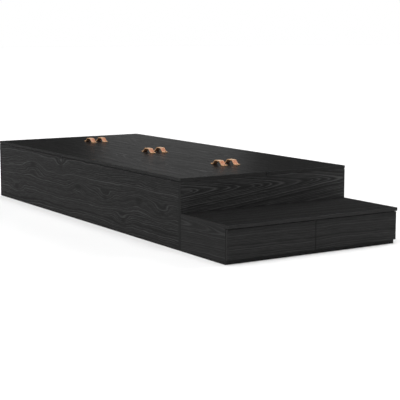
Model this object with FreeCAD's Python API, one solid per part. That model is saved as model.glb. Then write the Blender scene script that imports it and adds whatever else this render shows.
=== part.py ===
import FreeCAD, Part
import os

# Platform bed: a storage box with six hinged lids, and a lower step cabinet with two
# drawers across its foot end. Millimetres. +Z is up, the length runs along Y with the
# head at +Y, and the drawers open towards -Y. The origin is at the bottom centre of
# the whole bed's box. "Left" is the -X side.

V = FreeCAD.Vector

# ---- driving dimensions: main box ----
BED_LENGTH = 2000.0        # outside length of the main box
BED_WIDTH = 900.0          # outside width of the main box and of the step
BED_HEIGHT = 315.0         # floor to the top of the lids
PANEL = 18.0               # thickness of the carcass boards
LID = 15.0                 # thickness of the lids
CHAMBERS = 3               # storage chambers along the length
LID_REST_GAP = 0.5         # under a closed lid, above the carcass
CENTRE_GAP = 3.0           # between the left and the right lids
CROSS_GAP = 2.0            # between neighbouring lids along the length
EDGE_ROUND = 0.8           # rounding of the boards' visible edges
BEAM_WIDTH = 40.0          # lengthwise beam under the lids' meeting edges
BEAM_DEPTH = 60.0
BEAM_HOUSING = 9.0         # how far the beam's ends are let into the end panels
BEAM_CLEAR = 0.25          # each side of the beam in its notches
CLEAT = 20.0               # square battens that carry the base panels
BASE = 9.0                 # thickness of the base panels

# ---- lid hinges ----
HINGES_PER_LID = 2
HINGE_LENGTH = 60.0        # along the pin
HINGE_INSET = 90.0         # from a lid's end to its hinge
KNUCKLE_RADIUS = 3.0
PIN_RADIUS = 1.5
PIN_CLEAR = 0.05           # radial, pin in knuckle
LEAF = 1.2                 # thickness of a hinge leaf
LEAF_WIDTH = 12.0          # from the pin's axis to the leaf's free edge
TURN_CLEAR = 0.4           # between parts that turn past each other

# ---- strap handles ----
STRAP_WIDTH = 25.0
STRAP_THICK = 4.0
STRAP_FOOT = 18.0          # flat length at each end
STRAP_RISER = 19.0         # length of a sloping side, seen from above
STRAP_PLATEAU = 36.0       # flat length at the top
STRAP_RISE = 18.0          # from the underside of the foot to that of the plateau
STRAP_BEND = 5.0           # inside radius of the bends
STRAP_OFFSET = 35.5        # from the bed's centre line to the strap's centre line
SCREW_HEAD_RADIUS = 4.5
SCREW_HEAD = 2.2           # height of the domed head
SCREW_SHANK_RADIUS = 2.0
SCREW_INTO_LID = 11.0

# ---- step cabinet ----
STEP_DEPTH = 345.0         # from the main box to the front of the step's carcass
STEP_HEIGHT = 164.0        # floor to the top of the slab
STEP_TOP = 15.0            # thickness of the slab
STEP_GAP = 2.0             # joint line between the step and the main box
STEP_BACK = 12.0           # thickness of the step's back panel
SLAB_OVERHANG = 7.0        # of the slab past the drawer fronts
PLINTH_HEIGHT = 28.0

# ---- drawers ----
FRONT = 12.0               # thickness of a drawer front
PUSH_GAP = 3.0             # behind a closed front, taken up when it is pushed
FRONT_TOP_GAP = 3.5        # under the slab
FRONT_FLOOR_GAP = 19.5     # below the fronts
FRONT_SPLIT = 3.0          # between the two fronts
DRAWER_BOARD = 12.0
DRAWER_BOTTOM = 5.0
GROOVE = 5.0               # depth of the grooves that hold the bottom
BOTTOM_RECESS = 8.0        # from the boards' lower edges up to the bottom
DRAWER_SIDE_HEIGHT = 85.0
DRAWER_SIDE_LENGTH = 300.0
DRAWER_BOX_BASE = 36.0     # height of the drawer boards' lower edges

# ---- telescopic runners ----
RUNNER_SPACE = 12.7        # between a drawer side and the cabinet
RUNNER_LENGTH = 300.0
RUNNER_SETBACK = 3.0       # from the carcass front to the runner
RUNNER_HEIGHT = 35.0
SHEET = 1.2                # steel thickness of the runner members
BALL_SPACE = 2.1           # between nested flanges, where the balls run
MIDDLE_SHORTER = 10.0      # how much the middle member is shorter

# ---- push latches ----
LATCH_WIDTH = 18.0
LATCH_HEIGHT = 14.0
LATCH_LENGTH = 60.0
PLUNGER_RADIUS = 4.0
PLUNGER_LENGTH = 36.0
PLUNGER_CLEAR = 0.08       # radial, plunger in housing
PLUNGER_TIP_GAP = 0.35     # between the tip and the closed front
PLUNGER_STROKE = 2.5

# ---- bolts that join the step to the main box ----
BOLT_RADIUS = 3.5
BOLT_HEAD_RADIUS = 7.5
BOLT_HEAD = 3.0
BOLT_CLEAR = 0.1           # radial, bolt in hole
BOLT_INSET = 120.0         # from the side faces
BOLT_HEIGHT = 85.0

# ---- derived places ----
FRONT_FACE = STEP_DEPTH + PUSH_GAP + FRONT      # main box to the drawer fronts' faces
OVERALL = BED_LENGTH + FRONT_FACE + SLAB_OVERHANG
Y_HEAD = OVERALL / 2
Y_FOOT = Y_HEAD - BED_LENGTH                    # outer face of the foot panel
Y_CARCASS = Y_FOOT - STEP_DEPTH                 # front plane of the step's carcass
Y_STEP_BACK = Y_FOOT - STEP_GAP                 # rear plane of the step
HALF = BED_WIDTH / 2
INNER = HALF - PANEL                            # inner face of the side panels
LID_UNDER = BED_HEIGHT - LID
CARCASS_TOP = LID_UNDER - LID_REST_GAP
HINGE_Z = LID_UNDER - LID_REST_GAP / 2
HINGE_X = HALF - KNUCKLE_RADIUS                 # pins lie flush inside the side faces
POCKET_RADIUS = KNUCKLE_RADIUS + TURN_CLEAR
V_CHAMFER = KNUCKLE_RADIUS + TURN_CLEAR         # lets a lid turn past the side panel
STEP_CARCASS_TOP = STEP_HEIGHT - STEP_TOP
CHAMBER = (BED_LENGTH - PANEL) / CHAMBERS       # spacing of the cross boards
LID_PITCH = BED_LENGTH / CHAMBERS
ROWS = ("foot", "middle", "head")
SIDES = (("left", -1), ("right", 1))


def block(x0, x1, y0, y1, z0, z1):
    """Box between two planes on each axis, whichever way round they are given."""
    low = V(min(x0, x1), min(y0, y1), min(z0, z1))
    return Part.makeBox(abs(x1 - x0), abs(y1 - y0), abs(z1 - z0), low)


def rod(radius, start, end):
    axis = end - start
    return Part.makeCylinder(radius, axis.Length, start, axis)


def rounded(shape, radius):
    return shape.makeFillet(radius, shape.Edges)


def mirrored(shape):
    return shape.mirror(V(0, 0, 0), V(1, 0, 0))


def group(shapes):
    return Part.makeCompound(shapes)


def save(name, shape):
    shape.exportStep("parts/" + name + ".step")


# ---- hinges ----
def hinge_starts(row):
    """Y of the near end of each hinge on one lid."""
    low = Y_FOOT + row * LID_PITCH
    span = LID_PITCH - 2 * HINGE_INSET - HINGE_LENGTH
    return [low + HINGE_INSET + i * span / (HINGES_PER_LID - 1) for i in range(HINGES_PER_LID)]


def knuckle_spans(start):
    """Three knuckles on one pin: the outer two turn with the lid."""
    third = HINGE_LENGTH / 3
    gap = TURN_CLEAR / 2
    outer = [(start, start + third - gap), (start + 2 * third + gap, start + HINGE_LENGTH)]
    middle = [(start + third + gap, start + 2 * third - gap)]
    return outer, middle


def hinge_leaf(start, own, other, face_z, up):
    """One leaf with its knuckles, on the left side. face_z is the leaf's face on the gap."""
    x_pin = -HINGE_X
    plate = block(x_pin, x_pin + LEAF_WIDTH, start, start + HINGE_LENGTH, face_z, face_z + up * LEAF)
    for y0, y1 in other:
        space = rod(POCKET_RADIUS, V(x_pin, y0 - TURN_CLEAR, HINGE_Z), V(x_pin, y1 + TURN_CLEAR, HINGE_Z))
        plate = plate.cut(space)
    leaf = plate
    for y0, y1 in own:
        leaf = leaf.fuse(rod(KNUCKLE_RADIUS, V(x_pin, y0, HINGE_Z), V(x_pin, y1, HINGE_Z)))
    bore = rod(PIN_RADIUS + PIN_CLEAR, V(x_pin, start - 1, HINGE_Z), V(x_pin, start + HINGE_LENGTH + 1, HINGE_Z))
    return leaf.cut(bore).removeSplitter()


def lid_leaf(start):
    outer, middle = knuckle_spans(start)
    return hinge_leaf(start, outer, middle, LID_UNDER, 1)


def frame_leaf(start):
    outer, middle = knuckle_spans(start)
    return hinge_leaf(start, middle, outer, CARCASS_TOP, -1)


def hinge_pin(start):
    return rod(PIN_RADIUS, V(-HINGE_X, start, HINGE_Z), V(-HINGE_X, start + HINGE_LENGTH, HINGE_Z))


def hinge_pocket(start, face_z, up):
    """Room for one hinge in a board: the knuckles' round groove and the leaf's mortise."""
    groove = rod(POCKET_RADIUS, V(-HINGE_X, start - TURN_CLEAR, HINGE_Z),
                 V(-HINGE_X, start + HINGE_LENGTH + TURN_CLEAR, HINGE_Z))
    mortise = block(-HINGE_X, -HINGE_X + LEAF_WIDTH, start, start + HINGE_LENGTH, face_z, face_z + up * LEAF)
    return groove.fuse(mortise)


def v_groove(y0, y1, face_z, up):
    """Chamfer along a board's outer edge, so that the lid turns past the side panel."""
    corner = [V(-HALF, y0, face_z), V(-HALF + V_CHAMFER, y0, face_z), V(-HALF, y0, face_z + up * V_CHAMFER)]
    wedge = Part.Face(Part.makePolygon(corner + corner[:1]))
    return wedge.extrude(V(0, y1 - y0, 0))


# ---- main box ----
def side_panel():
    y0 = Y_FOOT + PANEL
    y1 = Y_HEAD - PANEL
    panel = block(-HALF, -INNER, y0, y1, 0, CARCASS_TOP)
    panel = panel.cut(v_groove(y0, y1, CARCASS_TOP, -1))
    for row in range(CHAMBERS):
        for start in hinge_starts(row):
            panel = panel.cut(hinge_pocket(start, CARCASS_TOP, -1))
    return panel


def centre_beam(clear=0.0):
    """The beam, or with a clearance the notch that it drops into."""
    half = BEAM_WIDTH / 2 + clear
    y0 = Y_FOOT + PANEL - BEAM_HOUSING - clear
    y1 = Y_HEAD - PANEL + BEAM_HOUSING + clear
    return block(-half, half, y0, y1, CARCASS_TOP - BEAM_DEPTH, CARCASS_TOP)


def end_panel(y_outer, inward):
    panel = block(-HALF, HALF, y_outer, y_outer + inward * PANEL, 0, CARCASS_TOP)
    outer_edges = [e for e in panel.Edges if all(abs(v.Point.y - y_outer) < 0.01 for v in e.Vertexes)]
    panel = panel.makeFillet(EDGE_ROUND, outer_edges)
    groove = v_groove(y_outer, y_outer + inward * PANEL, CARCASS_TOP, -1)
    return panel.cut([groove, mirrored(groove), centre_beam(BEAM_CLEAR)])


def cross_board_start(index):
    """Y of the near face of a cross board; 0 is the foot panel."""
    return Y_FOOT + index * CHAMBER


def divider(index):
    y0 = cross_board_start(index)
    board = block(-INNER, INNER, y0, y0 + PANEL, 0, CARCASS_TOP)
    return board.cut(centre_beam(BEAM_CLEAR))


def base_cleats():
    cleats = []
    for row in range(CHAMBERS):
        y0 = cross_board_start(row) + PANEL
        y1 = cross_board_start(row + 1)
        left = block(-INNER, -INNER + CLEAT, y0, y1, 0, CLEAT)
        cleats += [left, mirrored(left)]
    return cleats


def base_panels():
    return [block(-INNER, INNER, cross_board_start(row) + PANEL, cross_board_start(row + 1), CLEAT, CLEAT + BASE)
            for row in range(CHAMBERS)]


def joining_bolt_places():
    return [V(side * (HALF - BOLT_INSET), 0, BOLT_HEIGHT) for _, side in SIDES]


def joining_bolt(place, clear=0.0):
    """Connector bolt through the step's back and the foot panel, a flat head at each end."""
    y0 = Y_STEP_BACK - STEP_BACK
    y1 = Y_FOOT + PANEL
    shank = rod(BOLT_RADIUS + clear, V(place.x, y0, place.z), V(place.x, y1, place.z))
    if clear:
        return shank
    near = rod(BOLT_HEAD_RADIUS, V(place.x, y0 - BOLT_HEAD, place.z), V(place.x, y0, place.z))
    far = rod(BOLT_HEAD_RADIUS, V(place.x, y1, place.z), V(place.x, y1 + BOLT_HEAD, place.z))
    return shank.fuse([near, far]).removeSplitter()


def drill_for_bolts(panel):
    for place in joining_bolt_places():
        panel = panel.cut(joining_bolt(place, BOLT_CLEAR))
    return panel


# ---- lids and straps ----
def lid_span(row):
    """Y limits of one lid: flush with the ends of the bed, a gap between lids."""
    y0 = Y_FOOT + row * LID_PITCH + (CROSS_GAP / 2 if row > 0 else 0)
    y1 = Y_FOOT + (row + 1) * LID_PITCH - (CROSS_GAP / 2 if row < CHAMBERS - 1 else 0)
    return y0, y1


def lid_panel(row):
    y0, y1 = lid_span(row)
    lid = block(-HALF, -CENTRE_GAP / 2, y0, y1, LID_UNDER, BED_HEIGHT)
    top_edges = [e for e in lid.Edges if all(v.Point.z > LID_UNDER + LID / 2 for v in e.Vertexes)]
    lid = lid.makeFillet(EDGE_ROUND, top_edges)
    lid = lid.cut(v_groove(y0, y1, LID_UNDER, 1))
    for start in hinge_starts(row):
        lid = lid.cut(hinge_pocket(start, LID_UNDER, 1))
    for y in strap_screw_places(row):
        lid = lid.cut(rod(SCREW_SHANK_RADIUS, V(-STRAP_OFFSET, y, BED_HEIGHT - SCREW_INTO_LID),
                          V(-STRAP_OFFSET, y, BED_HEIGHT + 1)))
    return lid


def strap_middle(row):
    return Y_FOOT + (row + 0.5) * LID_PITCH


def strap_screw_places(row):
    reach = STRAP_PLATEAU / 2 + STRAP_RISER + STRAP_FOOT / 2
    return [strap_middle(row) - reach, strap_middle(row) + reach]


def strap_line(lift):
    """Half of the strap's side outline, from the plateau's middle to the foot's end."""
    run = STRAP_RISER
    drop = STRAP_RISE
    slope = (run * run + drop * drop) ** 0.5
    shift = lift * (slope - run) / drop        # keeps the riser as thick as the rest
    bend = STRAP_PLATEAU / 2 + shift
    return [(bend, STRAP_RISE + lift), (bend + run, lift), (STRAP_PLATEAU / 2 + run + STRAP_FOOT, lift)]


def strap(row):
    """Leather strap: two flat feet, two risers and a flat grip, with round bends."""
    upper = strap_line(STRAP_THICK)
    lower = strap_line(0.0)
    half = upper + lower[::-1]
    outline = [(-u, z) for u, z in half[::-1]] + half
    points = [V(-STRAP_OFFSET - STRAP_WIDTH / 2, strap_middle(row) + u, BED_HEIGHT + z) for u, z in outline]
    body = Part.Face(Part.makePolygon(points + points[:1])).extrude(V(STRAP_WIDTH, 0, 0))
    foot_end = STRAP_PLATEAU / 2 + STRAP_RISER + STRAP_FOOT
    for inner_corner, radius in ((True, STRAP_BEND), (False, STRAP_BEND + STRAP_THICK)):
        edges = []
        for edge in body.Edges:
            a = edge.Vertexes[0].Point
            b = edge.Vertexes[-1].Point
            along_x = abs(a.y - b.y) < 0.01 and abs(a.z - b.z) < 0.01
            out = abs(a.y - strap_middle(row))
            height = a.z - BED_HEIGHT
            at_top = height > STRAP_RISE - 1
            on_upper_face = abs(height - STRAP_THICK) < 0.01 or height > STRAP_RISE + 1
            hollow_side = on_upper_face != at_top
            if along_x and out < foot_end - 1 and hollow_side == inner_corner:
                edges.append(edge)
        body = body.makeFillet(radius, edges)
    for y in strap_screw_places(row):
        body = body.cut(rod(SCREW_SHANK_RADIUS, V(-STRAP_OFFSET, y, BED_HEIGHT - 1),
                            V(-STRAP_OFFSET, y, BED_HEIGHT + STRAP_THICK + 1)))
    return body


def strap_screw(y):
    seat = BED_HEIGHT + STRAP_THICK
    shank = rod(SCREW_SHANK_RADIUS, V(-STRAP_OFFSET, y, BED_HEIGHT - SCREW_INTO_LID), V(-STRAP_OFFSET, y, seat))
    head = rod(SCREW_HEAD_RADIUS, V(-STRAP_OFFSET, y, seat), V(-STRAP_OFFSET, y, seat + SCREW_HEAD))
    rim = [e for e in head.Edges if abs(e.BoundBox.ZMin - seat - SCREW_HEAD) < 0.01 and e.BoundBox.ZLength < 0.01]
    head = head.makeFillet(SCREW_HEAD * 0.8, rim)
    return shank.fuse(head).removeSplitter()


# ---- step cabinet ----
def step_side():
    return block(-HALF, -INNER, Y_CARCASS, Y_STEP_BACK, 0, STEP_CARCASS_TOP)


def step_plinth():
    return block(-INNER, INNER, Y_CARCASS, Y_CARCASS + PANEL, 0, PLINTH_HEIGHT)


def step_partition():
    y1 = Y_STEP_BACK - STEP_BACK
    return block(-PANEL / 2, PANEL / 2, Y_CARCASS, y1, 0, STEP_CARCASS_TOP).cut(step_plinth())


def step_back():
    panel = block(-INNER, INNER, Y_STEP_BACK - STEP_BACK, Y_STEP_BACK, 0, STEP_CARCASS_TOP)
    return drill_for_bolts(panel)


def step_slab():
    y0 = Y_FOOT - FRONT_FACE - SLAB_OVERHANG
    return rounded(block(-HALF, HALF, y0, Y_STEP_BACK, STEP_CARCASS_TOP, STEP_HEIGHT), EDGE_ROUND)


# ---- drawers, built for the left bay ----
BAY_OUTER = -INNER                              # cabinet faces of the left bay
BAY_INNER = -PANEL / 2
BOX_OUTER = BAY_OUTER + RUNNER_SPACE            # outer faces of the drawer's sides
BOX_INNER = BAY_INNER - RUNNER_SPACE
Y_FRONT_BACK = Y_CARCASS - PUSH_GAP             # rear face of a closed front
Y_BOX_REAR = Y_FRONT_BACK + DRAWER_SIDE_LENGTH
BOX_TOP = DRAWER_BOX_BASE + DRAWER_SIDE_HEIGHT
BOTTOM_Z = DRAWER_BOX_BASE + BOTTOM_RECESS
RUNNER_Z = DRAWER_BOX_BASE + DRAWER_SIDE_HEIGHT / 2


def drawer_bottom():
    return block(BOX_OUTER + DRAWER_BOARD - GROOVE, BOX_INNER - DRAWER_BOARD + GROOVE,
                 Y_FRONT_BACK - GROOVE, Y_BOX_REAR - DRAWER_BOARD + GROOVE, BOTTOM_Z, BOTTOM_Z + DRAWER_BOTTOM)


def drawer_front():
    panel = block(-HALF, -FRONT_SPLIT / 2, Y_FRONT_BACK - FRONT, Y_FRONT_BACK,
                  FRONT_FLOOR_GAP, STEP_CARCASS_TOP - FRONT_TOP_GAP)
    return rounded(panel, EDGE_ROUND).cut(drawer_bottom())


def drawer_side(x_outer, inward):
    board = block(x_outer, x_outer + inward * DRAWER_BOARD, Y_FRONT_BACK, Y_BOX_REAR, DRAWER_BOX_BASE, BOX_TOP)
    return board.cut(drawer_bottom())


def drawer_back():
    board = block(BOX_OUTER + DRAWER_BOARD, BOX_INNER - DRAWER_BOARD, Y_BOX_REAR - DRAWER_BOARD, Y_BOX_REAR,
                  DRAWER_BOX_BASE, BOX_TOP)
    return board.cut(drawer_bottom())


def channel(x_web, x_tip, half_height, y0, y1):
    """Steel channel along Y: a web at x_web with flanges that reach to x_tip."""
    toward = 1 if x_tip > x_web else -1
    z0 = RUNNER_Z - half_height
    z1 = RUNNER_Z + half_height
    web = block(x_web, x_web + toward * SHEET, y0, y1, z0, z1)
    lower = block(x_web, x_tip, y0, y1, z0, z0 + SHEET)
    upper = block(x_web, x_tip, y0, y1, z1 - SHEET, z1)
    return web.fuse([lower, upper]).removeSplitter()


def runner_members(x_wall, toward):
    """Cabinet, middle and drawer members of one runner, from the cabinet's face inwards."""
    y0 = Y_CARCASS + RUNNER_SETBACK
    y1 = y0 + RUNNER_LENGTH
    outer_half = RUNNER_HEIGHT / 2
    middle_half = outer_half - SHEET - BALL_SPACE
    inner_half = middle_half - SHEET - BALL_SPACE
    x_drawer = x_wall + toward * RUNNER_SPACE
    middle_web = x_wall + toward * (RUNNER_SPACE - SHEET) / 2
    cabinet = channel(x_wall, x_wall + toward * RUNNER_SPACE * 0.7, outer_half, y0, y1)
    middle = channel(middle_web, x_drawer - toward * 2 * SHEET, middle_half, y0, y1 - MIDDLE_SHORTER)
    drawer = channel(x_drawer, middle_web + toward * 2 * SHEET, inner_half, y0, Y_BOX_REAR)
    return cabinet, middle, drawer


def bay_runners():
    return list(zip(runner_members(BAY_OUTER, 1), runner_members(BAY_INNER, -1)))


# ---- push latches, built for the left bay ----
LATCH_X = (BAY_OUTER + BAY_INNER) / 2
LATCH_Z = STEP_CARCASS_TOP - LATCH_HEIGHT / 2
Y_TIP = Y_FRONT_BACK + PLUNGER_TIP_GAP


def latch_housing():
    body = block(LATCH_X - LATCH_WIDTH / 2, LATCH_X + LATCH_WIDTH / 2, Y_CARCASS, Y_CARCASS + LATCH_LENGTH,
                 STEP_CARCASS_TOP - LATCH_HEIGHT, STEP_CARCASS_TOP)
    depth = Y_TIP + PLUNGER_LENGTH + PLUNGER_STROKE + 1
    return body.cut(rod(PLUNGER_RADIUS + PLUNGER_CLEAR, V(LATCH_X, Y_CARCASS - 1, LATCH_Z), V(LATCH_X, depth, LATCH_Z)))


def latch_plunger():
    return rod(PLUNGER_RADIUS, V(LATCH_X, Y_TIP, LATCH_Z), V(LATCH_X, Y_TIP + PLUNGER_LENGTH, LATCH_Z))


def both_sides(shape, side):
    return shape if side < 0 else mirrored(shape)


def save_main_box():
    for name, side in SIDES:
        save("side_panel_" + name, both_sides(side_panel(), side))
    save("foot_panel", drill_for_bolts(end_panel(Y_FOOT, 1)))
    save("head_panel", end_panel(Y_HEAD, -1))
    save("divider_foot", divider(1))
    save("divider_head", divider(2))
    save("centre_beam", centre_beam())
    save("base_panels", group(base_panels()))
    save("base_cleats", group(base_cleats()))
    starts = [start for row in range(CHAMBERS) for start in hinge_starts(row)]
    leaves = [frame_leaf(start) for start in starts]
    pins = [hinge_pin(start) for start in starts]
    save("frame_hinge_leaves", group(leaves + [mirrored(leaf) for leaf in leaves]))
    save("hinge_pins", group(pins + [mirrored(pin) for pin in pins]))
    save("joining_bolts", group([joining_bolt(place) for place in joining_bolt_places()]))


def save_lids():
    for row, row_name in enumerate(ROWS):
        for name, side in SIDES:
            tag = name + "_" + row_name
            save("lid_" + tag, both_sides(lid_panel(row), side))
            save("strap_" + tag, both_sides(strap(row), side))
            screws = group([strap_screw(y) for y in strap_screw_places(row)])
            save("strap_screws_" + tag, both_sides(screws, side))
            leaves = group([lid_leaf(start) for start in hinge_starts(row)])
            save("lid_hinge_leaves_" + tag, both_sides(leaves, side))


def save_step():
    for name, side in SIDES:
        save("step_side_" + name, both_sides(step_side(), side))
    save("step_partition", step_partition())
    save("step_plinth", step_plinth())
    save("step_back", step_back())
    save("step_slab", step_slab())
    cabinet = list(bay_runners()[0])
    save("cabinet_runners", group(cabinet + [mirrored(member) for member in cabinet]))
    save("latch_housings", group([latch_housing(), mirrored(latch_housing())]))


def save_drawers():
    cabinet, middle, inner = bay_runners()
    for name, side in SIDES:
        tag = "drawer_" + name
        save(tag + "_front", both_sides(drawer_front(), side))
        save(tag + "_outer_side", both_sides(drawer_side(BOX_OUTER, 1), side))
        save(tag + "_inner_side", both_sides(drawer_side(BOX_INNER, -1), side))
        save(tag + "_back", both_sides(drawer_back(), side))
        save(tag + "_bottom", both_sides(drawer_bottom(), side))
        save(tag + "_runners", both_sides(group(inner), side))
        save("middle_runners_" + name, both_sides(group(middle), side))
        save("latch_plunger_" + name, both_sides(latch_plunger(), side))


os.makedirs("parts", exist_ok=True)
save_main_box()
save_lids()
save_step()
save_drawers()
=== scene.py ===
import math

import bpy
from mathutils import Matrix, Vector


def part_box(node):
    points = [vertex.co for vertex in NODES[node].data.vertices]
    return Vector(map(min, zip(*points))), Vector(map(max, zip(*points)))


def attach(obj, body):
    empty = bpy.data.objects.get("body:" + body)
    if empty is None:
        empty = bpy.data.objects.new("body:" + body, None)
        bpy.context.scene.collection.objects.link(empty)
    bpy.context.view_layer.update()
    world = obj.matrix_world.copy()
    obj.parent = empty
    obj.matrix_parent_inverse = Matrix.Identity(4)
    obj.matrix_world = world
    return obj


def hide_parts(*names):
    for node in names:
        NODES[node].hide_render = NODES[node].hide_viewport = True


bl_info = {
    "name": "Storage Platform Bed",
    "version": (1, 0, 0),
    "blender": (4, 5, 0),
    "location": "View3D > Sidebar > Platform Bed",
    "description": "Finishes and small parts of a black oak platform bed with lids and drawers",
    "category": "Object",
}

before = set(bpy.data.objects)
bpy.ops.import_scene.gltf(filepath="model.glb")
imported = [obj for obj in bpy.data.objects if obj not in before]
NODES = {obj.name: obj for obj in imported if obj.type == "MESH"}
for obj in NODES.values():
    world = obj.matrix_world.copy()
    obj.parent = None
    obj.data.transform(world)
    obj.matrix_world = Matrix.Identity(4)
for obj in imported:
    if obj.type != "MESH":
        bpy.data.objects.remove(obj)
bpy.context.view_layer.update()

MM = 0.001
TOLERANCE = 0.1 * MM            # for picking vertices, edges and faces by their place
ROWS = ("foot", "middle", "head")
SIDES = ("left", "right")
LIDS = [side + "_" + row for row in ROWS for side in SIDES]


# ---------------------------------------------------------------- colours and nodes

def linear(hex_colour):
    """An sRGB hex colour as linear red, green and blue."""
    shares = [int(hex_colour[i:i + 2], 16) / 255 for i in (1, 3, 5)]
    return tuple(c / 12.92 if c <= 0.04045 else ((c + 0.055) / 1.055) ** 2.4 for c in shares)


def shade(colour, factor):
    """A colour made darker or lighter."""
    return tuple(min(1.0, c * factor) for c in colour)


def per_mm(length, width):
    """Scale of a pattern whose features are that many mm long along the grain, and that wide."""
    return (1 / (length * MM), 1 / (width * MM), 1 / (width * MM))


def add(tree, kind, inputs=None, output=0, stops=(), **settings):
    """Adds a shader node with its settings and links, and gives back one of its outputs.

    An input is a value, or the socket that feeds it. stops are a colour ramp's (place, colour) or
    (place, grey level), from left to right.
    """
    node = tree.nodes.new(kind)
    for name, value in settings.items():
        setattr(node, name, value)
    for key, value in (inputs or {}).items():
        socket = node.inputs[key]
        if isinstance(value, bpy.types.NodeSocket):
            tree.links.new(value, socket)
        elif socket.type == "RGBA":
            socket.default_value = (*value, 1.0)
        else:
            socket.default_value = value
    for i, (place, tone) in enumerate(stops):
        elements = node.color_ramp.elements
        element = elements[i] if i < len(elements) else elements.new(place)
        element.position = place
        element.color = (tone, tone, tone, 1.0) if isinstance(tone, float) else (*tone, 1.0)
    return node.outputs[output]


def new_finish(name, **shader_values):
    """A material with one Principled shader, and constant values set on its own sockets."""
    material = bpy.data.materials.new(name)
    material.use_nodes = True
    shader = material.node_tree.nodes["Principled BSDF"]
    for key, value in shader_values.items():
        shader.inputs[key.replace("_", " ")].default_value = value
    return material, material.node_tree


def feed(tree, **sockets):
    """Links sockets to the Principled shader's inputs, named with _ for a space."""
    shader = tree.nodes["Principled BSDF"]
    for key, socket in sockets.items():
        tree.links.new(socket, shader.inputs[key.replace("_", " ")])


# ---------------------------------------------------------------- sizes and colours for the user

class BedFinish(bpy.types.PropertyGroup):
    """Colours of the bed's finishes"""
    oak_body: bpy.props.FloatVectorProperty(
        name="Oak body", description="Main colour of the black oak foil",
        subtype="COLOR", size=3, min=0, max=1, default=linear("#1E1E1E"))
    oak_line: bpy.props.FloatVectorProperty(
        name="Oak lines", description="Dark late-wood lines of the oak figure",
        subtype="COLOR", size=3, min=0, max=1, default=linear("#101010"))
    oak_light: bpy.props.FloatVectorProperty(
        name="Oak streaks", description="Light fibre streaks between the lines",
        subtype="COLOR", size=3, min=0, max=1, default=linear("#303030"))
    inner_board: bpy.props.FloatVectorProperty(
        name="Inner boards", description="Melamine inside the box and on the drawer sides",
        subtype="COLOR", size=3, min=0, max=1, default=linear("#2A2A2A"))
    leather: bpy.props.FloatVectorProperty(
        name="Leather", description="Face of the tan strap leather",
        subtype="COLOR", size=3, min=0, max=1, default=linear("#B4683F"))
    # Painted highlight: this pale colour on the straps' upward faces stands in for their sheen at grazing
    # angles.
    leather_painted_highlight: bpy.props.FloatVectorProperty(
        name="Highlit leather", description="Upper faces of the straps, polished by painting",
        subtype="COLOR", size=3, min=0, max=1, default=linear("#D6BA9C"))
    leather_flesh: bpy.props.FloatVectorProperty(
        name="Flesh side", description="Suede underside of the straps",
        subtype="COLOR", size=3, min=0, max=1, default=linear("#94694A"))
    leather_edge: bpy.props.FloatVectorProperty(
        name="Leather edge", description="Waxed natural edge of the straps",
        subtype="COLOR", size=3, min=0, max=1, default=linear("#BC936C"))
    thread: bpy.props.FloatVectorProperty(
        name="Thread", description="Waxed thread of the straps' stitching",
        subtype="COLOR", size=3, min=0, max=1, default=linear("#DDB48F"))
    copper: bpy.props.FloatVectorProperty(
        name="Copper", description="Copper plate on the strap screws",
        subtype="COLOR", size=3, min=0, max=1, default=linear("#C98A6A"))


class StrapSizes(bpy.types.PropertyGroup):
    """Sizes of the leather straps and their stitching"""
    thickness: bpy.props.FloatProperty(
        name="Thickness", description="Thickness of the leather", unit="LENGTH", default=4.0 * MM)
    plateau: bpy.props.FloatProperty(
        name="Grip length", description="Flat length at the top", unit="LENGTH", default=36.0 * MM)
    riser: bpy.props.FloatProperty(
        name="Riser length", description="Length of a sloping side, seen from above",
        unit="LENGTH", default=19.0 * MM)
    bend: bpy.props.FloatProperty(
        name="Bend radius", description="Radius of the bends at the middle of the leather",
        unit="LENGTH", default=7.0 * MM)
    corner: bpy.props.FloatProperty(
        name="Corner radius", description="Rounding of the straps' ends, seen from above",
        unit="LENGTH", default=4.0 * MM)
    stitch_pitch: bpy.props.FloatProperty(
        name="Stitch pitch", description="From one stitch to the next", unit="LENGTH", default=4.6 * MM)
    stitch_inset: bpy.props.FloatProperty(
        name="Stitch inset", description="From the strap's edge to its stitching",
        unit="LENGTH", default=2.6 * MM)
    thread_width: bpy.props.FloatProperty(
        name="Thread width", description="Thickness of the thread", unit="LENGTH", default=0.9 * MM)


# ---------------------------------------------------------------- black oak

def board_place(tree, along, across):
    """Object coordinates turned so that X is along the board's grain and Z is through it.

    The second socket says how far the surface faces along Z: 1 or -1 on a face, 0 on an edge.
    """
    third = ({"X", "Y", "Z"} - {along, across}).pop()
    place = add(tree, "ShaderNodeTexCoord", output="Object")
    turned = {name: add(tree, "ShaderNodeSeparateXYZ", {0: place}, output=axis)
              for name, axis in zip("XYZ", (along, across, third))}
    normal = add(tree, "ShaderNodeTexCoord", output="Normal")
    facing = add(tree, "ShaderNodeSeparateXYZ", {0: normal}, output=third)
    return add(tree, "ShaderNodeCombineXYZ", turned), facing


def log_place(tree, board, centre, tilt, flame):
    """Place in the log. It isn't straight: it has long slow bends, and shorter wavers on them."""
    log = add(tree, "ShaderNodeMapping", {"Vector": board, "Location": centre, "Rotation": (0.0, tilt, 0.0)},
              vector_type="TEXTURE")
    place = log
    for length, width, reach in ((420, 120, 0.004 + flame), (110, 28, 0.002 + flame * 0.2)):
        stretched = add(tree, "ShaderNodeVectorMath", {0: log, 1: per_mm(length, width)},
                        operation="MULTIPLY")
        cloud = add(tree, "ShaderNodeTexNoise", {"Vector": stretched, "Scale": 1.0, "Detail": 2.0},
                    output="Color")
        centred = add(tree, "ShaderNodeVectorMath", {0: cloud, 1: (0.5, 0.5, 0.5)}, operation="SUBTRACT")
        place = add(tree, "ShaderNodeVectorMath", {0: centred, 1: (0.0, reach, reach), 2: place},
                    operation="MULTIPLY_ADD")
    return place


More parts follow.
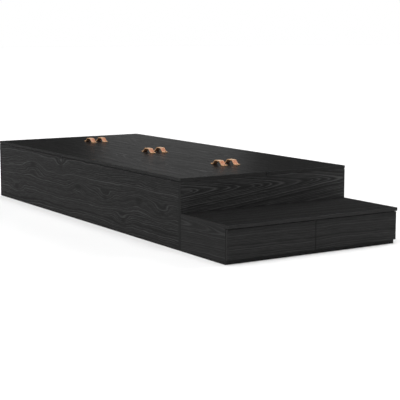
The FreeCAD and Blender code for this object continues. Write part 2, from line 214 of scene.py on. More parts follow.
def tree_years(tree, log, taper, ring):
    """Distance from the log's heart, in growth rings."""
    flat = add(tree, "ShaderNodeVectorMath", {0: log, 1: (0.0, 1.0, 1.0)}, operation="MULTIPLY")
    radius = add(tree, "ShaderNodeVectorMath", {0: flat}, output="Value", operation="LENGTH")
    down = add(tree, "ShaderNodeSeparateXYZ", {0: log}, output="X")
    tapered = add(tree, "ShaderNodeMath", {0: down, 1: taper, 2: radius}, operation="MULTIPLY_ADD")
    return add(tree, "ShaderNodeMath", {0: tapered, 1: ring * MM}, operation="DIVIDE")


def add_knots(tree, board, years, knots):
    """Bends the rings round each oval knot, and gives back the knots' small dark cores too."""
    oval = 2.2                  # a knot's length for its width
    core = 0.0
    for along, across, length, rings in knots:
        offset = add(tree, "ShaderNodeVectorMath", {0: board, 1: (along, across, 0.0)}, operation="SUBTRACT")
        place = add(tree, "ShaderNodeVectorMath", {0: offset, 1: (1 / length, oval / length, 0.0)},
                    operation="MULTIPLY")
        reach = add(tree, "ShaderNodeVectorMath", {0: place}, output="Value", operation="LENGTH")
        swell = add(tree, "ShaderNodeMapRange", {"Value": reach, "From Min": 1.0, "From Max": 0.0,
                                                 "To Max": rings}, interpolation_type="SMOOTHERSTEP")
        years = add(tree, "ShaderNodeMath", {0: years, 1: swell}, operation="ADD")
        dot = add(tree, "ShaderNodeMapRange", {"Value": reach, "From Min": 0.22, "From Max": 0.08})
        core = add(tree, "ShaderNodeMath", {0: core, 1: dot}, operation="MAXIMUM")
    return years, core


def ring_lines(tree, years):
    """One light line for each ring, wider and stronger in some years than in others."""
    uneven = add(tree, "ShaderNodeTexNoise", {"W": years, "Scale": 0.45, "Detail": 1.0},
                 noise_dimensions="1D")
    most_shift = 2.2            # rings
    shifted = add(tree, "ShaderNodeMath", {0: uneven, 1: most_shift, 2: years}, operation="MULTIPLY_ADD")
    season = add(tree, "ShaderNodeMath", {0: shifted}, operation="FRACT")
    line = add(tree, "ShaderNodeValToRGB", {"Fac": season}, stops=(
        (0.0, 0.05), (0.3, 0.3), (0.52, 1.0), (0.68, 0.5), (0.85, 0.0), (1.0, 0.05)))
    strength = add(tree, "ShaderNodeMath", {0: uneven, 1: 1.3, 2: 0.3}, operation="MULTIPLY_ADD")
    return add(tree, "ShaderNodeMath", {0: line, 1: strength}, operation="MULTIPLY")


def black_oak(name, finish, along, across, centre, tilt=0.0, taper=0.0, flame=0.0, ring=10.0, contrast=1.0,
              rough=0.6, lift=1.0, edge=0.65, knots=()):
    """Black oak foil: the figure of a flat-sawn board, from rings round a slightly tilted log.

    along and across are the board's grain and cross directions. centre is a point on the log's
    heart, tilt turns the log out of the board's plane, taper is how much thinner the log gets along
    it, flame is how far the figure wanders in metres, ring is a ring's width in mm, lift is painted
    light: it scales the face's colours lighter or darker for each board, in place of the light that
    board gets, edge scales the banding's colours apart from lift, and knots are (along, across,
    length, rings) of the knots, which add that many rings round themselves.
    It gives the eye nested arches of thin light lines on charcoal, with a soft sheen that breaks
    up along the grain, and plain dark banding on the board's edges.
    """
    material, tree = new_finish(name, IOR=1.36, Specular_IOR_Level=0.35)
    board, facing = board_place(tree, along, across)
    log = log_place(tree, board, centre, tilt, flame)
    years, core = add_knots(tree, board, tree_years(tree, log, taper, ring), knots)
    line = ring_lines(tree, years)

    # Fibres about 5 mm apart and open pores about 1 mm wide, both long along the grain.
    fibre_place = add(tree, "ShaderNodeVectorMath", {0: log, 1: per_mm(85, 5)}, operation="MULTIPLY")
    fibre = add(tree, "ShaderNodeTexNoise", {"Vector": fibre_place, "Scale": 1.0, "Detail": 4.0,
                                             "Roughness": 0.65})
    pore_place = add(tree, "ShaderNodeVectorMath", {0: log, 1: per_mm(22, 1.05)}, operation="MULTIPLY")
    pore = add(tree, "ShaderNodeTexNoise", {"Vector": pore_place, "Scale": 1.0, "Detail": 1.0})
    pore = add(tree, "ShaderNodeValToRGB", {"Fac": pore}, stops=((0.56, 0.0), (0.66, 1.0)))

    # The figure is at plain where the board shows its main colour, lower in pores and higher in lines.
    plain = 0.42
    line_weight = 0.75 * contrast
    fibre_weight = 1.2 * contrast
    figure = plain - plain * line_weight - 0.5 * fibre_weight
    for part, weight in ((line, line_weight), (fibre, fibre_weight), (pore, -0.22 * contrast), (core, -0.5)):
        figure = add(tree, "ShaderNodeMath", {0: part, 1: weight, 2: figure}, operation="MULTIPLY_ADD")
    # Painted light: lift makes this board's colours lighter or darker for how much light falls on it.
    dark, body, light = (shade(tone, lift) for tone in (finish.oak_line, finish.oak_body, finish.oak_light))
    colour = add(tree, "ShaderNodeValToRGB", {"Fac": figure}, stops=(
        (0.0, dark), (plain, body), (1.0, light)))

    # The edges are banded: plain and dull, with faint straight lines along them.
    upright = add(tree, "ShaderNodeMath", {0: facing}, operation="ABSOLUTE")
    face = add(tree, "ShaderNodeMath", {0: upright, 1: 0.8}, operation="GREATER_THAN")
    banding = add(tree, "ShaderNodeValToRGB", {"Fac": fibre}, stops=(
        (0.3, shade(finish.oak_body, edge)), (0.7, shade(finish.oak_light, edge))))
    colour = add(tree, "ShaderNodeMix", {"Factor": face, "A": banding, "B": colour}, output="Result",
                 data_type="RGBA")
    sheen = add(tree, "ShaderNodeMapRange", {"Value": figure, "From Min": 0.1, "From Max": 0.8,
                                             "To Min": rough + 0.12, "To Max": rough - 0.06})
    sheen = add(tree, "ShaderNodeMix", {"Factor": face, "A": 0.75, "B": sheen}, output="Result")
    relief = add(tree, "ShaderNodeMath", {0: figure, 1: face}, operation="MULTIPLY")
    bump = add(tree, "ShaderNodeBump", {"Height": relief, "Strength": 0.5, "Distance": 0.5 * MM})
    feed(tree, Base_Color=colour, Roughness=sheen, Normal=bump)
    return material


# ---------------------------------------------------------------- other finishes

def plain_melamine(name, colour, along):
    """Melamine-faced board: an even dark grey, with a pressed fine straight grain 1.5 mm apart."""
    material, tree = new_finish(name, IOR=1.46, Specular_IOR_Level=0.3)
    board, _ = board_place(tree, along, "Z")
    place = add(tree, "ShaderNodeVectorMath", {0: board, 1: per_mm(250, 1.5)}, operation="MULTIPLY")
    grain = add(tree, "ShaderNodeTexNoise", {"Vector": place, "Scale": 1.0, "Detail": 2.0})
    tint = add(tree, "ShaderNodeMix", {"Factor": grain, "A": colour, "B": shade(colour, 1.6)},
               output="Result", data_type="RGBA")
    rough = add(tree, "ShaderNodeMapRange", {"Value": grain, "To Min": 0.5, "To Max": 0.65})
    bump = add(tree, "ShaderNodeBump", {"Height": grain, "Strength": 0.3, "Distance": 0.1 * MM})
    feed(tree, Base_Color=tint, Roughness=rough, Normal=bump)
    return material


def tan_leather(finish):
    """Vegetable-tanned cowhide: a warm tan with cloudy tone and pebbles 1.3 mm across.

    Its upper faces are painted paler, a painted highlight in place of the sheen they show at grazing
    angles, and its flesh side underneath is dull suede.
    """
    material, tree = new_finish("vegetable_tanned_leather", IOR=1.5, Coat_Weight=0.35, Coat_Roughness=0.25)
    place = add(tree, "ShaderNodeTexCoord", output="Object")
    normal = add(tree, "ShaderNodeTexCoord", output="Normal")
    cloud = add(tree, "ShaderNodeTexNoise", {"Vector": place, "Scale": 1 / (17 * MM), "Detail": 4.0})
    tone = add(tree, "ShaderNodeValToRGB", {"Fac": cloud}, stops=(
        (0.3, shade(finish.leather, 0.7)), (0.7, finish.leather)))
    upward = add(tree, "ShaderNodeSeparateXYZ", {0: normal}, output="Z")
    # Painted highlight: faces that look up are mixed up to 0.85 of the way to the pale highlight colour.
    highlit = add(tree, "ShaderNodeMapRange", {"Value": upward, "From Min": 0.7, "From Max": 1.0,
                                                "To Max": 0.85})
    tone = add(tree, "ShaderNodeMix", {"Factor": highlit, "A": tone, "B": finish.leather_painted_highlight},
               output="Result", data_type="RGBA")
    flesh = add(tree, "ShaderNodeMath", {0: upward, 1: -0.3}, operation="LESS_THAN")
    tone = add(tree, "ShaderNodeMix", {"Factor": flesh, "A": tone, "B": finish.leather_flesh},
               output="Result", data_type="RGBA")
    pebble = add(tree, "ShaderNodeTexVoronoi", {"Vector": place, "Scale": 1 / (1.3 * MM)},
                 output="Distance", feature="SMOOTH_F1")
    rough = add(tree, "ShaderNodeMapRange", {"Value": pebble, "To Min": 0.36, "To Max": 0.52})
    rough = add(tree, "ShaderNodeMath", {0: flesh, 1: 0.4, 2: rough}, operation="MULTIPLY_ADD")
    bump = add(tree, "ShaderNodeBump", {"Height": pebble, "Strength": 0.4, "Distance": 0.25 * MM},
               invert=True)
    feed(tree, Base_Color=tone, Roughness=rough, Normal=bump)
    return material


def waxed_edge(finish):
    """Waxed natural leather edge: paler and smoother than the face, with layers along it."""
    material, tree = new_finish("waxed_leather_edge", IOR=1.5)
    place = add(tree, "ShaderNodeTexCoord", output="Object")
    place = add(tree, "ShaderNodeVectorMath", {0: place, 1: (1.0, 1.0, 6.0)}, operation="MULTIPLY")
    layer = add(tree, "ShaderNodeTexNoise", {"Vector": place, "Scale": 1 / (5.5 * MM), "Detail": 2.0})
    tint = add(tree, "ShaderNodeMix", {"Factor": layer, "A": finish.leather_edge,
                                       "B": shade(finish.leather_edge, 1.4)},
               output="Result", data_type="RGBA")
    rough = add(tree, "ShaderNodeMapRange", {"Value": layer, "To Min": 0.3, "To Max": 0.5})
    feed(tree, Base_Color=tint, Roughness=rough)
    return material


def waxed_thread(finish):
    """Waxed polyester thread: two strands twisted every 1.2 mm, seen as fine slanted bands."""
    material, tree = new_finish("waxed_thread", Roughness=0.55, IOR=1.5)
    place = add(tree, "ShaderNodeTexCoord", output="Object")
    bands_for_scale = 20        # the texture's own number of bands for a scale of 1
    twist = add(tree, "ShaderNodeTexWave", {"Vector": place, "Scale": 1 / (bands_for_scale * 1.2 * MM)},
                bands_direction="DIAGONAL")
    tint = add(tree, "ShaderNodeMix", {"Factor": twist, "A": shade(finish.thread, 0.6), "B": finish.thread},
               output="Result", data_type="RGBA")
    feed(tree, Base_Color=tint)
    return material


def metal(name, colour, roughness, speck_mm):
    """Plated steel: an even metal whose tone and gloss vary in fine specks."""
    material, tree = new_finish(name, Metallic=1.0)
    place = add(tree, "ShaderNodeTexCoord", output="Object")
    speck = add(tree, "ShaderNodeTexNoise", {"Vector": place, "Scale": 1 / (speck_mm * MM), "Detail": 2.0})
    tint = add(tree, "ShaderNodeMix", {"Factor": speck, "A": shade(colour, 0.8), "B": colour},
               output="Result", data_type="RGBA")
    rough = add(tree, "ShaderNodeMapRange", {"Value": speck, "To Min": roughness - 0.08,
                                             "To Max": roughness + 0.08})
    feed(tree, Base_Color=tint, Roughness=rough)
    return material


def black_powder_coat():
    """Powder coat on steel: an even soft black, with orange peel 1.5 mm across."""
    material, tree = new_finish("black_powder_coat", Roughness=0.65, IOR=1.5, Specular_IOR_Level=0.2)
    place = add(tree, "ShaderNodeTexCoord", output="Object")
    peel = add(tree, "ShaderNodeTexNoise", {"Vector": place, "Scale": 1 / (1.5 * MM)})
    tint = add(tree, "ShaderNodeMix", {"Factor": peel, "A": linear("#0E0E0F"), "B": linear("#131314")},
               output="Result", data_type="RGBA")
    bump = add(tree, "ShaderNodeBump", {"Height": peel, "Strength": 0.3, "Distance": 0.1 * MM})
    feed(tree, Base_Color=tint, Normal=bump)
    return material


def moulded_abs():
    """Moulded ABS: even mid grey, with the fine 0.6 mm spark texture of its mould."""
    material, tree = new_finish("moulded_abs", Roughness=0.5, IOR=1.53)
    place = add(tree, "ShaderNodeTexCoord", output="Object")
    spark = add(tree, "ShaderNodeTexNoise", {"Vector": place, "Scale": 1 / (0.6 * MM)})
    tint = add(tree, "ShaderNodeMix", {"Factor": spark, "A": linear("#55565A"), "B": linear("#64656A")},
               output="Result", data_type="RGBA")
    bump = add(tree, "ShaderNodeBump", {"Height": spark, "Strength": 0.2, "Distance": 0.05 * MM})
    feed(tree, Base_Color=tint, Normal=bump)
    return material


def matt_paper():
    """Matt white background paper: almost even, with a faint cloudiness half a metre across."""
    material, tree = new_finish("background_paper", Roughness=0.9, Specular_IOR_Level=0.1)
    place = add(tree, "ShaderNodeTexCoord", output="Object")
    cloud = add(tree, "ShaderNodeTexNoise", {"Vector": place, "Scale": 1 / (500 * MM)})
    tint = add(tree, "ShaderNodeMix", {"Factor": cloud, "A": linear("#F4F4F4"), "B": linear("#F8F8F8")},
               output="Result", data_type="RGBA")
    feed(tree, Base_Color=tint)
    return material


# ---------------------------------------------------------------- modelling helpers

def paint(node, material):
    data = NODES[node].data
    data.materials.clear()
    data.materials.append(material)


def select_only(piece):
    bpy.ops.object.select_all(action="DESELECT")
    piece.select_set(True)
    bpy.context.view_layer.objects.active = piece


def new_piece(name, primitive, **settings):
    """Adds a primitive with nothing else selected, and names it and its mesh."""
    bpy.ops.object.select_all(action="DESELECT")
    primitive(**settings)
    piece = bpy.context.object
    piece.name = name
    piece.data.name = name
    return piece


def select_where(piece, kind, test):
    """In edit mode, selects only the vertices, edges or faces whose middle passes the test."""
    bpy.ops.mesh.select_mode(type=kind)
    bpy.ops.mesh.select_all(action="DESELECT")
    bpy.ops.object.mode_set(mode="OBJECT")
    mesh = piece.data
    parts = {"VERT": mesh.vertices, "EDGE": mesh.edges, "FACE": mesh.polygons}[kind]
    for part in parts:
        if kind == "VERT":
            middle = part.co
        else:
            middle = sum((mesh.vertices[i].co for i in part.vertices), Vector()) / len(part.vertices)
        part.select = test(middle)
    bpy.ops.object.mode_set(mode="EDIT")


def apply_place(piece):
    select_only(piece)
    bpy.ops.object.transform_apply(location=True, rotation=True, scale=True)


def apply_modifiers(piece):
    select_only(piece)
    for modifier in list(piece.modifiers):
        bpy.ops.object.modifier_apply(modifier=modifier.name)


def copy_piece(piece, name, shift):
    """A copy with its own mesh, moved in its mesh."""
    twin = piece.copy()
    twin.data = piece.data.copy()
    twin.name = name
    twin.data.name = name
    twin.data.transform(Matrix.Translation(shift))
    bpy.context.collection.objects.link(twin)
    return twin


def join_pieces(pieces, name):
    bpy.ops.object.select_all(action="DESELECT")
    for piece in pieces:
        piece.select_set(True)
    bpy.context.view_layer.objects.active = pieces[0]
    if len(pieces) > 1:
        bpy.ops.object.join()
    joined = bpy.context.object
    joined.name = name
    joined.data.name = name
    return joined


def middle_of(node):
    low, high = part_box(node)
    return (low + high) / 2


# ---------------------------------------------------------------- strap handles

def round_corner(before, corner, after, radius, steps=6):
    """Points of the arc that rounds one corner of a path in the YZ plane."""
    to_before = (before - corner).normalized()
    to_after = (after - corner).normalized()
    half_angle = to_before.angle(to_after) / 2
    reach = radius / math.tan(half_angle)
    centre = corner + (to_before + to_after).normalized() * radius / math.sin(half_angle)
    first = (corner + to_before * reach - centre).normalized()
    last = (corner + to_after * reach - centre).normalized()
    return [centre + first.slerp(last, i / steps) * radius for i in range(steps + 1)]


def strap_path(sizes, low, high):
    """Middle layer of one strap from end to end, as points in the YZ plane."""
    middle = (low.y + high.y) / 2
    half = sizes.thickness / 2
    foot_z = low.z + half
    grip_z = high.z - half
    drop = grip_z - foot_z
    slope = math.hypot(sizes.riser, drop)
    bend_y = sizes.plateau / 2 + half * (slope - sizes.riser) / drop
    outward = [Vector((0, 0, grip_z)), Vector((0, bend_y, grip_z)),
               Vector((0, bend_y + sizes.riser, foot_z)), Vector((0, (high.y - low.y) / 2, foot_z))]
    half_path = [outward[0]]
    for i in (1, 2):
        half_path += round_corner(outward[i - 1], outward[i], outward[i + 1], sizes.bend)
    half_path.append(outward[3])
    near = [Vector((0, -p.y, p.z)) for p in reversed(half_path[1:])]
    return [p + Vector((0, middle, 0)) for p in near + half_path]


def along_path(path, distance):
    """Point and direction at a distance along a path."""
    for a, b in zip(path, path[1:]):
        length = (b - a).length
        if distance <= length:
            return a.lerp(b, distance / length), (b - a) / length
        distance -= length
    return path[-1], (path[-1] - path[-2]).normalized()


def path_length(path):
    return sum((b - a).length for a, b in zip(path, path[1:]))


class BED_OT_straps(bpy.types.Operator):
    """Leather strap handles, bent over and cut with round corners"""
    bl_idname = "bed.straps"
    bl_label = "Leather straps"

    def execute(self, context):
        sizes = context.scene.bed_straps
        first = "strap_" + LIDS[0]
        low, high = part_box(first)
        path = strap_path(sizes, low, high)
        strap = self.bent_strip(sizes, low, high, path)
        finish = context.scene.bed_finish
        strap.data.materials.append(tan_leather(finish))
        strap.data.materials.append(waxed_edge(finish))
        self.thicken(strap, sizes)
        for lid in LIDS[1:]:
            shift = middle_of("strap_" + lid) - middle_of(first)
            self.settle(copy_piece(strap, "leather_strap_" + lid, shift), lid)
        self.settle(strap, LIDS[0])
        return {"FINISHED"}

    def bent_strip(self, sizes, low, high, path):
        """A flat strip pulled along the strap's path, one extrusion for each step."""
        centre_x = (low.x + high.x) / 2
        start = path[0]
        first_step = path[1] - start
        strip = new_piece("leather_strap_" + LIDS[0], bpy.ops.mesh.primitive_plane_add, size=1.0,
                          location=(centre_x, start.y + first_step.y / 2, start.z))
        strip.scale = (high.x - low.x, first_step.y, 1.0)
        apply_place(strip)
        bpy.ops.object.mode_set(mode="EDIT")
        edge_y = path[1].y
        select_where(strip, "EDGE", lambda middle: middle.y > edge_y - TOLERANCE)
        for a, b in zip(path[1:], path[2:]):
            bpy.ops.mesh.extrude_region_move(TRANSFORM_OT_translate={"value": tuple(b - a)})
        corners = [(x, y) for x in (low.x, high.x) for y in (low.y, high.y)]
        select_where(strip, "VERT", lambda place: any(
            abs(place.x - x) < TOLERANCE and abs(place.y - y) < TOLERANCE for x, y in corners))
        bpy.ops.mesh.bevel(offset=sizes.corner, segments=6, affect="VERTICES")
        bpy.ops.mesh.select_all(action="SELECT")
        bpy.ops.mesh.normals_make_consistent(inside=False)
        bpy.ops.object.mode_set(mode="OBJECT")
        return strip

    def thicken(self, strap, sizes):
        thick = strap.modifiers.new("thickness", "SOLIDIFY")
        thick.thickness = sizes.thickness
        thick.offset = 0.0
        thick.material_offset_rim = 1
        soft = strap.modifiers.new("skived edges", "BEVEL")
        soft.width = 0.9 * MM
        soft.segments = 3
        soft.limit_method = "ANGLE"
        soft.angle_limit = math.radians(50)
        apply_modifiers(strap)
        bpy.ops.object.shade_smooth_by_angle(angle=math.radians(40))

    def settle(self, strap, lid):
        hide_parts("strap_" + lid)
        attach(strap, "lid_" + lid)


class BED_OT_stitching(bpy.types.Operator):
    """Waxed thread along both edges of every strap"""
    bl_idname = "bed.stitching"
    bl_label = "Strap stitching"

    def execute(self, context):
        sizes = context.scene.bed_straps
        first = "strap_" + LIDS[0]
        low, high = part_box(first)
        path = strap_path(sizes, low, high)
        row = self.one_strap(sizes, low, high, path)
        row.data.materials.append(waxed_thread(context.scene.bed_finish))
        for lid in LIDS[1:]:
            shift = middle_of("strap_" + lid) - middle_of(first)
            self.settle(copy_piece(row, "strap_thread_" + lid, shift), lid)
        self.settle(row, LIDS[0])
        return {"FINISHED"}

    def one_strap(self, sizes, low, high, path):
        stitch = self.stitch(sizes)
        inset = sizes.corner + 1.0 * MM
        length = path_length(path) - 2 * inset
        count = int(length / sizes.stitch_pitch)
        lift = sizes.thickness / 2 + 0.1 * MM
        stitches = []
        for x in (low.x + sizes.stitch_inset, high.x - sizes.stitch_inset):
            for i in range(count + 1):
                place, direction = along_path(path, inset + length * i / count)
                up = Vector((0, -direction.z, direction.y))
                turn = Matrix((Vector((1, 0, 0)), direction, up)).transposed().to_4x4()
                spot = Vector((x, place.y, place.z)) + up * lift
                twin = copy_piece(stitch, "stitch", Vector())
                twin.data.transform(Matrix.Translation(spot) @ turn)
                stitches.append(twin)
        bpy.data.objects.remove(stitch)
        row = join_pieces(stitches, "strap_thread_" + LIDS[0])
        bpy.ops.object.shade_smooth()
        return row

    def settle(self, row, lid):
        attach(row, "lid_" + lid)

    def stitch(self, sizes):
        """One stitch along Y: a round middle, and ends that narrow and dip into the leather."""
        radius = sizes.thread_width / 2
        half = sizes.stitch_pitch * 0.24
        step = radius / 2
        stitch = new_piece("stitch", bpy.ops.mesh.primitive_cylinder_add, vertices=8, radius=radius,
                           depth=2 * half, rotation=(math.radians(90), 0, 0))
        apply_place(stitch)
        bpy.ops.object.mode_set(mode="EDIT")
        for sign in (-1, 1):
            end = half
            drop = 0.0
            for sink, narrow in ((0.2 * radius, 0.85), (0.5 * radius, 0.7)):
                select_where(stitch, "FACE", lambda middle: middle.y * sign > end - 0.1 * TOLERANCE)
                bpy.ops.mesh.extrude_region_move(TRANSFORM_OT_translate={"value": (0, sign * step, -sink)})
                end += step
                drop += sink
                bpy.ops.transform.resize(value=(narrow, 1, narrow), center_override=(0, sign * end, -drop))
        bpy.ops.object.mode_set(mode="OBJECT")
        return stitch


class BED_OT_strap_screws(bpy.types.Operator):
    """Slotted round-head screws that hold the straps"""
    bl_idname = "bed.strap_screws"
    bl_label = "Strap screws"

    head_radius = 4.5 * MM
    head_height = 2.2 * MM
    slot_width = 1.1 * MM
    slot_depth = 1.1 * MM

    def execute(self, context):
        first = "strap_screws_" + LIDS[0]
        low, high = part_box(first)
        copper = metal("copper_plated_steel", context.scene.bed_finish.copper, 0.3, 0.5)
        pair = self.pair(low, high)
        pair.data.materials.append(copper)
        for lid in LIDS[1:]:
            shift = middle_of("strap_screws_" + lid) - middle_of(first)
            self.settle(copy_piece(pair, "round_head_screws_" + lid, shift), lid)
        self.settle(pair, LIDS[0])
        return {"FINISHED"}

    def pair(self, low, high):
        x = (low.x + high.x) / 2
        seat = high.z - self.head_height
        screws = []
        for y, turn in ((low.y + self.head_radius, 0.5), (high.y - self.head_radius, -0.9)):
            head = new_piece("screw", bpy.ops.mesh.primitive_cylinder_add, vertices=32,
                             radius=self.head_radius, depth=self.head_height,
                             location=(x, y, seat + self.head_height / 2))
            apply_place(head)
            bpy.ops.object.mode_set(mode="EDIT")
            top = high.z
            select_where(head, "EDGE", lambda middle: middle.z > top - TOLERANCE)
            bpy.ops.mesh.bevel(offset=self.head_height * 0.8, segments=6, profile=0.5)
            bpy.ops.object.mode_set(mode="OBJECT")
            cutter = new_piece("slot", bpy.ops.mesh.primitive_cube_add, size=1.0, location=(x, y, top))
            cutter.scale = (self.slot_width, 3 * self.head_radius, 2 * self.slot_depth)
            cutter.rotation_euler.z = turn
            cut = head.modifiers.new("slot", "BOOLEAN")
            cut.operation = "DIFFERENCE"
            cut.object = cutter
            cut.solver = "EXACT"
            apply_modifiers(head)
            bpy.data.objects.remove(cutter)
            screws.append(head)
        pair = join_pieces(screws, "round_head_screws_" + LIDS[0])
        bpy.ops.object.shade_smooth_by_angle(angle=math.radians(35))
        return pair

    def settle(self, pair, lid):
        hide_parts("strap_screws_" + lid)
        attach(pair, "lid_" + lid)


# ---------------------------------------------------------------- finishes of the CAD parts

class BED_OT_boards(bpy.types.Operator):
    """Black oak foil on every outer board, each with its own cut of the log"""
    bl_idname = "bed.boards"
    bl_label = "Black oak boards"

    def execute(self, context):
        # Each board's lift below is painted light: its foil is painted lighter or darker for the light that
        # falls on it.
        finish = context.scene.bed_finish
        self.sides(finish)
        self.end_panels(finish)
        self.lids(finish)
        self.step(finish)
        return {"FINISHED"}

    def sides(self, finish):
        """Wild flame figure with knots along the bed, and calmer straight grain beside the step."""
        for side in SIDES:
            low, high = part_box("side_panel_" + side)
            face = low.x if side == "left" else high.x
            heart = (0.3, -0.06, face - 0.05)
            knots = [(0.37, 0.250, 0.15, 5.0), (0.72, 0.225, 0.22, -4.0), (0.17, 0.165, 0.17, -4.0),
                     (-0.12, 0.146, 0.15, 5.0), (-0.45, 0.170, 0.18, -4.5), (-0.66, 0.145, 0.13, 4.5),
                     (-0.30, 0.060, 0.12, 3.0), (0.95, 0.080, 0.16, 3.5)]
            if side == "right":
                knots = [(0.62 - y, high.z - z, length, rings) for y, z, length, rings in knots]
            # Painted light: lift=0.72 paints the sides darker, for the strong light from the left.
            oak = black_oak("black_oak_side_" + side, finish, "Y", "Z", heart, taper=0.02, flame=0.05,
                            ring=6.5, contrast=1.25, lift=0.72, knots=knots)
            paint("side_panel_" + side, oak)
            low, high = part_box("step_side_" + side)
            face = low.x if side == "left" else high.x
            heart = (low.y, high.z * 0.85, face - 0.02)
            # Painted light: lift=0.8 paints the step's sides for the light they get.
            oak = black_oak("black_oak_step_side_" + side, finish, "Y", "Z", heart, taper=-0.04,
                            flame=0.015, ring=6.5, contrast=0.75, lift=0.8)
            paint("step_side_" + side, oak)

    def end_panels(self, finish):
        """Nested arches that point across the bed in the upper part, and straight grain below."""
        heart_depth = 0.012         # behind the outer face; the deeper it is, the rounder the arches
        for node in ("foot_panel", "head_panel"):
            low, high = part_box(node)
            heart_y = low.y + heart_depth if node == "foot_panel" else high.y - heart_depth
            heart = (low.x, high.z * 0.86, heart_y)
            # Painted light: lift=1.7 paints the end panels lighter, in place of light they don't get;
            # edge=0.4 keeps their banding dark.
            oak = black_oak("black_oak_" + node, finish, "X", "Z", heart, taper=0.11, flame=0.012,
                            ring=7.0, contrast=1.25, lift=1.7, edge=0.4)
            paint(node, oak)

    def lids(self, finish):
        """One long figure that runs on from lid to lid, on a glossier foil than the sides'."""
        for side, shift in (("left", 0.0), ("right", 0.7)):
            low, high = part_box("lid_" + side + "_foot")
            heart = (low.y + shift, (low.x + high.x) / 2, high.z - 0.05)
            knot = (0.71, -0.295, 0.10, 4.0) if side == "left" else (-0.2, 0.31, 0.09, 4.0)
            # Painted light: lift=0.7 paints the lids for the light from above.
            oak = black_oak("black_oak_lids_" + side, finish, "Y", "X", heart, tilt=0.04, flame=0.05,
                            contrast=0.6, lift=0.7, rough=0.28, knots=(knot,))
            for row in ROWS:
                paint("lid_" + side + "_" + row, oak)

    def step(self, finish):
        """Quiet straight grain across the step's slab, fronts and plinth."""
        low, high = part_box("step_slab")
        heart = (low.x, low.y - 0.05, high.z - 0.06)
        # Painted shade: lift=0.36 paints the slab darker, for the top light that falls full on it.
        slab = black_oak("black_oak_slab", finish, "X", "Y", heart, tilt=0.05, flame=0.03,
                         contrast=1.6, lift=0.36, rough=0.46)
        paint("step_slab", slab)
        heart = (low.x, -0.03, low.y + 0.02)
        # Painted light: lift=0.85 paints the fronts for the light they get.
        front = black_oak("black_oak_fronts", finish, "X", "Z", heart, tilt=-0.02, flame=0.02,
                          ring=6.0, contrast=0.9, lift=0.85)
        for node in ("drawer_left_front", "drawer_right_front", "step_plinth"):
            paint(node, front)


class BED_OT_inner_boards(bpy.types.Operator):
    """Dark melamine on the boards inside the box and the drawers"""
    bl_idname = "bed.inner_boards"
    bl_label = "Inner boards"

    def execute(self, context):
        colour = context.scene.bed_finish.inner_board
        crosswise = plain_melamine("melamine_crosswise", colour, "X")
        lengthwise = plain_melamine("melamine_lengthwise", colour, "Y")
        for node in ("divider_foot", "divider_head", "base_panels", "step_back"):
            paint(node, crosswise)
        for node in ("centre_beam", "base_cleats", "step_partition"):
            paint(node, lengthwise)
        for side in SIDES:
            for board in ("_outer_side", "_inner_side"):
                paint("drawer_" + side + board, lengthwise)
            for board in ("_back", "_bottom"):
                paint("drawer_" + side + board, crosswise)
        return {"FINISHED"}


class BED_OT_hardware(bpy.types.Operator):
    """Finishes of the hinges, runners, bolts and latches"""
    bl_idname = "bed.hardware"
    bl_label = "Hinges, runners and latches"

    def execute(self, context):
        black = black_powder_coat()
        zinc = metal("zinc_plated_steel", linear("#C4C7CA"), 0.32, 0.6)
        plastic = moulded_abs()
        paint("frame_hinge_leaves", black)
        for lid in LIDS:
            paint("lid_hinge_leaves_" + lid, black)
        for node in ("hinge_pins", "joining_bolts", "cabinet_runners"):
            paint(node, zinc)
        for side in SIDES:
            paint("middle_runners_" + side, zinc)
            paint("drawer_" + side + "_runners", zinc)
            paint("latch_plunger_" + side, plastic)
        paint("latch_housings", plastic)
        return {"FINISHED"}


# ---------------------------------------------------------------- stage

class StageSettings(bpy.types.PropertyGroup):
    """Light and camera of the stage"""
    top_light: bpy.props.FloatProperty(
        name="Top light", description="Broad soft light from above", min=0, default=2.25)
    side_light: bpy.props.FloatProperty(
        name="Side light", description="Soft light from the left", min=0, default=1.85)
    right_light: bpy.props.FloatProperty(
        name="Right light", description="Soft light from the right", min=0, default=1.9)
    back_light: bpy.props.FloatProperty(
        name="Back light", description="Soft high light from behind the bed", min=0, default=0.4)
    card: bpy.props.FloatProperty(
        name="Card", description="Soft card behind the bed, which the sheen of the lids shows",
        min=0, default=2.7)
    room: bpy.props.FloatProperty(
        name="Room", description="Faint light of the room around the stage", min=0, default=0.03)
    lens: bpy.props.FloatProperty(
        name="Lens", description="Focal length of the camera", unit="CAMERA", default=100.84)


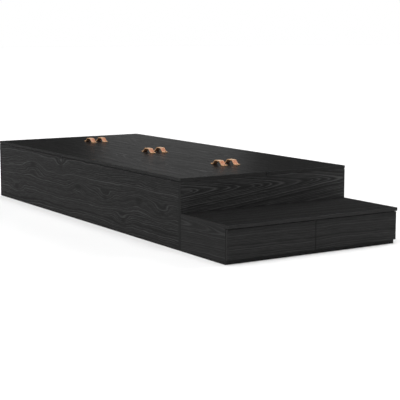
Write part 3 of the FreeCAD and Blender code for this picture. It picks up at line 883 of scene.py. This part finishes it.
class BED_OT_stage(bpy.types.Operator):
    """Pale floor, soft light and the camera"""
    bl_idname = "bed.stage"
    bl_label = "Stage"

    camera_place = (-2.9064, -4.8581, 0.92405)
    camera_turn = (81.561, 0.0, -32.294)    # degrees: tilt from straight down, roll, heading
    floor_size = 120.0
    lamp_distance = 4.0
    card_place = (3.6, 6.0, 1.3)
    card_size = (1.7, 2.4)                  # wide and high
    card_faces = (-0.45, -0.89, 0.0)

    def execute(self, context):
        settings = context.scene.bed_stage
        floor = new_piece("paper_floor", bpy.ops.mesh.primitive_plane_add, size=self.floor_size)
        floor.data.materials.append(matt_paper())
        self.room(context.scene, settings)
        self.lamps(settings)
        bpy.ops.object.camera_add(location=self.camera_place,
                                  rotation=[math.radians(a) for a in self.camera_turn])
        camera = bpy.context.object
        camera.data.lens = settings.lens
        camera.data.sensor_width = 36.0
        context.scene.camera = camera
        context.scene.view_settings.view_transform = "Standard"
        return {"FINISHED"}

    def room(self, scene, settings):
        """A white room to the eye, and a dimmer one to the surfaces that it lights."""
        world = bpy.data.worlds.new("studio")
        scene.world = world
        world.use_nodes = True
        tree = world.node_tree
        ray = add(tree, "ShaderNodeLightPath", output="Is Camera Ray")
        strength = add(tree, "ShaderNodeMapRange", {"Value": ray, "To Min": settings.room, "To Max": 1.0})
        background = tree.nodes["Background"]
        background.inputs["Color"].default_value = (1.0, 1.0, 1.0, 1.0)
        tree.links.new(strength, background.inputs["Strength"])

    def lamps(self, settings):
        """Four soft suns round the bed, and the card that the lids' sheen shows."""
        for name, energy, spread, source in (
                ("top_light", settings.top_light, 55, (-0.10, -0.10, 1.0)),
                ("side_light", settings.side_light, 60, (-0.70, -0.50, 0.40)),
                ("right_light", settings.right_light, 50, (0.92, 0.05, 0.35)),
                ("back_light", settings.back_light, 30, (0.0, 0.80, 0.60))):
            bpy.ops.object.light_add(type="SUN", location=[self.lamp_distance * c for c in source])
            lamp = bpy.context.object
            lamp.name = name
            lamp.data.energy = energy
            lamp.data.angle = math.radians(spread)
            lamp.rotation_euler = Vector(source).to_track_quat("Z", "Y").to_euler()
            lamp.visible_glossy = name != "back_light"      # or the lids would show it as a glare
        bpy.ops.object.light_add(type="AREA", location=self.card_place)
        card = bpy.context.object
        card.name = "soft_card"
        card.data.shape = "RECTANGLE"
        card.data.size, card.data.size_y = self.card_size
        card.data.energy = settings.card
        card.rotation_euler = Vector(self.card_faces).to_track_quat("-Z", "Y").to_euler()
        card.visible_camera = False


class BED_PT_panel(bpy.types.Panel):
    """Lists the bed's pieces and its colours"""
    bl_idname = "BED_PT_panel"
    bl_label = "Platform Bed"
    bl_space_type = "VIEW_3D"
    bl_region_type = "UI"
    bl_category = "Platform Bed"

    def draw(self, context):
        for operator in OPERATORS:
            self.layout.operator(operator.bl_idname)
        for group in (context.scene.bed_finish, context.scene.bed_straps, context.scene.bed_stage):
            box = self.layout.box()
            for name in group.__annotations__:
                box.prop(group, name)


OPERATORS = (BED_OT_boards, BED_OT_inner_boards, BED_OT_hardware, BED_OT_straps, BED_OT_stitching,
             BED_OT_strap_screws, BED_OT_stage)
GROUPS = {"bed_finish": BedFinish, "bed_straps": StrapSizes, "bed_stage": StageSettings}


def register():
    for cls in (*GROUPS.values(), *OPERATORS, BED_PT_panel):
        bpy.utils.register_class(cls)
    for name, group in GROUPS.items():
        setattr(bpy.types.Scene, name, bpy.props.PointerProperty(type=group))


def unregister():
    for name in GROUPS:
        delattr(bpy.types.Scene, name)
    for cls in reversed((*GROUPS.values(), *OPERATORS, BED_PT_panel)):
        bpy.utils.unregister_class(cls)


def main():
    register()
    bpy.ops.bed.stage()
    bpy.ops.bed.boards()
    bpy.ops.bed.inner_boards()
    bpy.ops.bed.hardware()
    bpy.ops.bed.straps()
    bpy.ops.bed.stitching()
    bpy.ops.bed.strap_screws()


if __name__ == "__main__":
    main()
